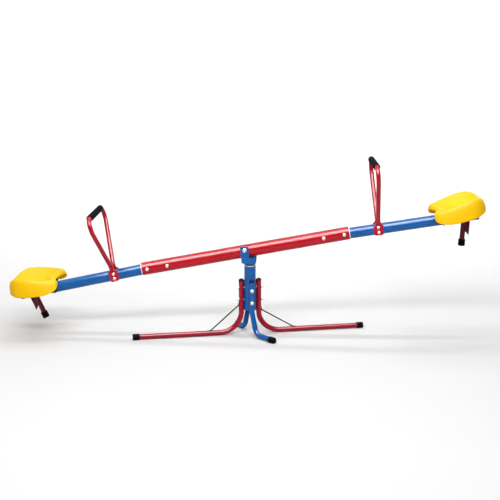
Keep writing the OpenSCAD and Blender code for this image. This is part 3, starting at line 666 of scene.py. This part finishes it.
def top_plug():
    """A domed plug for a leg's upright end, with a parting step under its rim."""
    rim = LEG_R + 0.4
    profile = [(0, -18), (8.1, -18), (8.45, -17), (8.45, 0), (rim - 0.3, 0), (rim, 0.3), (rim, 1.5)]
    profile += [
        (rim * math.cos(math.radians(a)), 1.5 + 7.5 * math.sin(math.radians(a)))
        for a in range(10, 90, 10)
    ]
    profile.append((0, 9))
    return turned(profile, 56)


def clear_of_post(part):
    """Trims a plug's rim where it meets the post."""
    matrix, points, faces = part
    made = []
    for p in points:
        q = matrix @ Vector(p)
        r = math.hypot(q.x, q.y)
        grow = max(1.0, (POST_R + 0.4) / r) if q.z > LEG_TOP - 1 else 1.0
        made.append(Vector((q.x * grow, q.y * grow, q.z)))
    return Matrix(), made, faces


piece("leg_top_plug_set", "base", BLACK, [
    clear_of_post((on_leg(angle) @ move(LEG_AT, 0, LEG_TOP), *top_plug())) for angle, _, _ in LEGS.values()
], ["leg_top_plugs"])

for side_name, side in SIDES.items():
    profile = [(0, -20), (18.8, -20), (19.4, -18), (19.4, 0), (20.6, 0), (21, 0.4), (21, 1.8)]
    profile += [
        (19.4 + 1.6 * math.cos(math.radians(a)), 1.8 + 1.2 * math.sin(math.radians(a)))
        for a in (22, 45, 68, 90)
    ]
    profile += [(14, 3.0), (13.4, 2.2), (0, 2.2)]
    piece(f"{side_name}_end_cap", "beam", BLACK, [
        (on_arm(side) @ move(ARM_END, 0, 0) @ turn("Y", 90), *turned(profile, 56))
    ], [f"{side_name}_end_plug"])

# ------------------------------------------------------------------ handles

PLATE_Y = ARM_R + 2.5
FOOT = [  # height, part of the full width, part of the way from flat to round
    (-20, 0.60, 0), (-19.6, 0.72, 0), (-18.6, 0.84, 0), (-17.4, 0.91, 0), (-16, 0.96, 0), (-14, 0.99, 0),
    (-12, 1, 0), (-4, 1, 0), (4, 1, 0), (12, 1, 0), (15.5, 1, 0), (16.5, 1, 0.04), (17.5, 1, 0.11),
    (18.5, 1, 0.2), (20, 1, 0.34), (21.5, 1, 0.5), (23, 1, 0.66), (24.5, 1, 0.82), (26, 1, 0.94), (27.4, 1, 1)
]
FLARE_FROM = 38
FLARE_TO = FLARE_FROM + (HANDLE_HALF - PLATE_Y) * 4 / 3
LOOP = [  # y, z and bend radius of the loop's corners
    (-PLATE_Y, 28, 0), (-PLATE_Y, FLARE_FROM, 24), (-HANDLE_HALF, FLARE_TO, 60),
    (-HANDLE_HALF, GRIP_W, 34), (HANDLE_HALF, GRIP_W, 34), (HANDLE_HALF, FLARE_TO, 60),
    (PLATE_Y, FLARE_FROM, 24), (PLATE_Y, 28, 0)
]


def loop_line(step=4):
    """Centres and directions along the loop, each bend in steps of a few degrees."""
    corners = [Vector((0, y, z)) for y, z, _ in LOOP]
    line = [(corners[0], (corners[1] - corners[0]).normalized())]
    for i in range(1, len(LOOP) - 1):
        a = (corners[i] - corners[i - 1]).normalized()
        b = (corners[i + 1] - corners[i]).normalized()
        bend = a.angle(b)
        way = a.cross(b).normalized()
        start = corners[i] - a * (LOOP[i][2] * math.tan(bend / 2))
        inward = way.cross(a)
        centre = start + inward * LOOP[i][2]
        count = max(2, round(math.degrees(bend) / step))
        for k in range(count + 1):
            spin = Matrix.Rotation(bend * k / count, 3, way)
            line.append((centre - spin @ inward * LOOP[i][2], spin @ a))
    line.append((corners[-1], (corners[-1] - corners[-2]).normalized()))
    return line


def handle_mesh():
    stations = []
    out = Vector((1, 0, 0))
    for y_side, feet in ((-1, FOOT), (1, FOOT[::-1])):
        for z, share, blend in feet:
            thick = 2.5 + (HANDLE_R - 2.5) * blend
            wide = 18 * share + (HANDLE_R - 18 * share) * blend
            stations.append((
                Vector((0, y_side * PLATE_Y, z)), Vector((0, 1, 0)) * -y_side, out,
                thick, wide, 1 + 2 * (1 - blend)
            ))
        if y_side < 0:
            for centre, along in loop_line():
                stations.append((centre, out.cross(along) * -1, out, HANDLE_R, HANDLE_R, 1))
    return swept(stations, 40, 1.5)


def grip_mesh():
    """A foam sleeve: rolled ends, a slight swell, and the small dents that foam keeps."""
    profile = [(HANDLE_R + 0.1, -GRIP_HALF + 0.4)]
    profile += [(11.0 + 1.4 * math.sin(math.radians(a)), -GRIP_HALF + 1.4 - 1.4 * math.cos(math.radians(a)))
                for a in (0, 25, 50, 75)]
    steps = 96
    for k in range(steps + 1):
        s = k / steps
        z = -GRIP_HALF + 3 + (2 * GRIP_HALF - 6) * s
        swell = 12.35 + 0.15 * math.sin(math.pi * s)

        def dented(angle, z=z, swell=swell):
            a = math.radians(angle)
            return swell + 0.10 * math.sin(2 * a + z * 0.051) + 0.07 * math.sin(3 * a - z * 0.13 + 1.3) \
                + 0.05 * math.sin(7 * a + z * 0.37)
        profile.append((dented, z))
    profile += [(11.0 + 1.4 * math.sin(math.radians(a)), GRIP_HALF - 1.4 + 1.4 * math.cos(math.radians(a)))
                for a in (75, 50, 25, 0)]
    profile.append((HANDLE_R + 0.1, GRIP_HALF - 0.4))
    return turned(profile, 64, closed=True)


for side_name, side in SIDES.items():
    piece(f"{side_name}_handle_tube", "beam", HANDLE_RED, [
        (on_handle(side), *handle_mesh())
    ], [f"{side_name}_handle"], 50)
    grip = piece(f"{side_name}_foam_grip", "beam", FOAM, [
        (on_handle(side) @ move(0, 0, GRIP_W) @ turn("X", 90), *grip_mesh())
    ], [f"{side_name}_grip"], 60)

# ------------------------------------------------------------------ seats

SEAT_HALF = [  # along, across, rim height and hem height of half the outline
    (-77, 0, 41, 31), (-84, 28, 44, 32), (-95, 62, 49, 31), (-101, 84, 50, 26), (-92, 102, 51, 10),
    (-56, 122, 57, 2), (0, 126, 70, 5), (51, 114, 77, 11), (83, 83, 73, 20), (96, 38, 66, 26),
    (101, 0, 63, 28)
]
CROWN = 22  # how far in from the hem the rim's crown is
SEAT_STEPS = 8


def seat_outline():
    loop = SEAT_HALF + [(x, -y, rim, hem) for x, y, rim, hem in SEAT_HALF[-2:0:-1]]
    count = len(loop)
    line = []
    for i in range(count):
        a, b, c, d = (loop[(i + k) % count] for k in (-1, 0, 1, 2))
        for k in range(SEAT_STEPS):
            t = k / SEAT_STEPS
            line.append(tuple(
                0.5 * (2 * b[j] + (c[j] - a[j]) * t + (2 * a[j] - 5 * b[j] + 4 * c[j] - d[j]) * t * t
                       + (3 * b[j] - a[j] - 3 * c[j] + d[j]) * t ** 3)
                for j in range(4)
            ))
    return line


def smooth_curve(knots, at):
    """A smooth curve through (x, y) knots, by cubic Hermite pieces."""
    for i in range(len(knots) - 1):
        if at <= knots[i + 1][0] or i == len(knots) - 2:
            break
    slopes = []
    for k in (i, i + 1):
        low, high = max(k - 1, 0), min(k + 1, len(knots) - 1)
        slopes.append((knots[high][1] - knots[low][1]) / (knots[high][0] - knots[low][0]))
    (x0, y0), (x1, y1) = knots[i], knots[i + 1]
    h = x1 - x0
    t = (at - x0) / h
    return (y0 * (2 * t ** 3 - 3 * t * t + 1) + h * slopes[0] * (t ** 3 - 2 * t * t + t)
            + y1 * (3 * t * t - 2 * t ** 3) + h * slopes[1] * (t ** 3 - t * t))


OUTER_RISE = [(0, 0), (1.5, 0.3), (5, 0.62), (10, 0.85), (16, 0.96), (20, 0.98), (CROWN, 0.965)]
DISH = 2.4  # how steeply the dish climbs towards the rim


def seat_ring(outline, inset, share, rise, drop):
    ring = []
    for x, y, rim, hem in outline:
        r = math.hypot(x, y)
        k = (r - inset) / r * share
        crown = 1 - 0.035 * max(0.0, (share - 0.93) / 0.07) ** 2
        z = hem + (rim - hem) * rise if share == 1 else PAN_W + (rim - PAN_W) * share ** DISH * crown
        ring.append((x * k, y * k, z - drop))
    return ring


def seat_mesh():
    outline = seat_outline()
    rings = []
    for inset in (0, 0.4, 0.9, 1.5, 2.3, 3.2, 4.2, 5.5, 7, 8.5, 10, 12, 14, 16, 18, 20, CROWN):
        rings.append(seat_ring(outline, inset, 1, smooth_curve(OUTER_RISE, inset), 0))
    shares = (0.985, 0.965, 0.94, 0.9, 0.84, 0.78, 0.72, 0.66, 0.58, 0.5, 0.42, 0.34, 0.26, 0.18, 0.1)
    rings += [seat_ring(outline, CROWN, s, 1, 0) for s in shares]
    under = [seat_ring(outline, CROWN, s, 1, SEAT_T) for s in shares[:2:-1]]
    under.append(seat_ring(outline, CROWN, 1, 0.97, SEAT_T))
    for inset, rise, drop in (
        (19.5, 0.97, 4), (17, 0.95, 4), (14.5, 0.84, 3.2), (12, 0.72, 2.5), (10, 0.57, 1.6), (8, 0.42, 1),
        (7, 0.3, 0.4), (6, 0.2, 0), (5.2, 0.1, -0.4), (4.6, 0.04, -0.3), (4, 0, 0), (3, -0.02, 0),
        (1.4, -0.02, 0)
    ):
        under.append(seat_ring(outline, inset, 1, rise, drop))
    points, numbers = [], []
    for ring in rings:
        numbers.append(list(range(len(points), len(points) + len(ring))))
        points += ring
    numbers.append([len(points)])
    points.append((0, 0, PAN_W))
    top_end = len(numbers)
    numbers.append([len(points)])
    points.append((0, 0, PAN_W - SEAT_T))
    for ring in under:
        numbers.append(list(range(len(points), len(points) + len(ring))))
        points += ring
    faces = bridged(numbers[:top_end]) + bridged(numbers[top_end:])
    last, first = numbers[-1], numbers[0]
    count = len(first)
    faces += [(last[i], first[i], first[(i + 1) % count], last[(i + 1) % count]) for i in range(count)]
    return points, faces


for side_name, side in SIDES.items():
    piece(f"{side_name}_seat_shell", "beam", YELLOW, [
        (on_arm(side) @ move(SEAT_U, 0, 0), *seat_mesh())
    ], [f"{side_name}_seat"], 55)

# ------------------------------------------------------------------ stage, lights and camera


def backdrop():
    """A pale floor that curves up into a wall far behind."""
    front, bend_from, bend_r, top, half_width = -6.0, 4.2, 1.5, 5.0, 9.0
    profile = [(front, 0.0), (bend_from, 0.0)]
    profile += [
        (bend_from + bend_r * math.sin(math.radians(a)), bend_r - bend_r * math.cos(math.radians(a)))
        for a in range(6, 91, 6)
    ]
    profile.append((bend_from + bend_r, top))
    bm = bmesh.new()
    rows = [[bm.verts.new((x, y, z)) for y, z in profile] for x in (-half_width, half_width)]
    for i in range(len(profile) - 1):
        bm.faces.new((rows[0][i], rows[1][i], rows[1][i + 1], rows[0][i + 1]))
    mesh = bpy.data.meshes.new("studio_floor")
    bm.to_mesh(mesh)
    bm.free()
    mesh.polygons.foreach_set("use_smooth", [True] * len(mesh.polygons))
    n = Nodes("studio_paper")
    depth = n.add("ShaderNodeSeparateXYZ", {"Vector": n.place}).outputs["Y"]
    # Painted light and shade: the paper is darker at the front, where the lamps fall strongest, and lighter
    # towards the wall, which they reach less, so that it looks evenly bright.
    painted_falloff_tone = n.ramp(n.span(depth, 0.0, 1.0, -2.0, 6.0), [(0.25, (0.60,) * 3), (0.75, (0.93,) * 3)])
    mesh.materials.append(n.feed(
        Base_Color=n.blend("MULTIPLY", 0.03, painted_falloff_tone, n.ramp(n.noise(3, 2), [(0, (0.8,) * 3), (1, (1,) * 3)])),
        Roughness=0.9,
        Specular_IOR_Level=0.1,
    ))
    floor = bpy.data.objects.new("studio_floor", mesh)
    bpy.context.scene.collection.objects.link(floor)
    return floor


backdrop()


def softbox(name, at, aim, size, watts):
    data = bpy.data.lights.new(name, "AREA")
    data.shape = "RECTANGLE"
    data.size, data.size_y = size
    data.energy = watts
    made = bpy.data.objects.new(name, data)
    made.location = at
    made.rotation_euler = (Vector(aim) - Vector(at)).to_track_quat("-Z", "Y").to_euler()
    bpy.context.scene.collection.objects.link(made)
    return made


softbox("front_strip", (-0.1, -1.95, 2.1), (0, 0, 0.35), (3.0, 0.42), 84)
softbox("top_strip", (0.0, 0.15, 2.5), (0, 0, 0.35), (3.2, 0.10), 24)
# A wide sheet that adds highlights to every glossy surface, and no diffuse light.
softbox("gloss_sheet", (0.0, -1.0, 2.7), (0, 0, 0.35), (3.6, 1.3), 420).visible_diffuse = False
softbox("wall_wash", (0.0, 1.8, 4.2), (0, 5.2, 1.2), (6.0, 0.8), 260)

world = bpy.data.worlds.new("studio_air")
world.use_nodes = True
world.node_tree.nodes["Background"].inputs["Color"].default_value = (1, 1, 1, 1)
world.node_tree.nodes["Background"].inputs["Strength"].default_value = 0.27
bpy.context.scene.world = world
bpy.context.scene.view_settings.view_transform = "Standard"

AIM = Vector((0, 0, 0.332))
DISTANCE = 3.754
RISE = math.radians(12.55)
SWING = math.radians(1.63)
camera = bpy.data.objects.new("camera", bpy.data.cameras.new("camera"))
camera.data.sensor_width = 36
camera.data.lens = 71.0
camera.location = AIM + DISTANCE * Vector((
    math.cos(RISE) * math.sin(SWING), -math.cos(RISE) * math.cos(SWING), math.sin(RISE)
))
camera.rotation_euler = (AIM - camera.location).to_track_quat("-Z", "Y").to_euler()
bpy.context.scene.collection.objects.link(camera)
bpy.context.scene.camera = camera
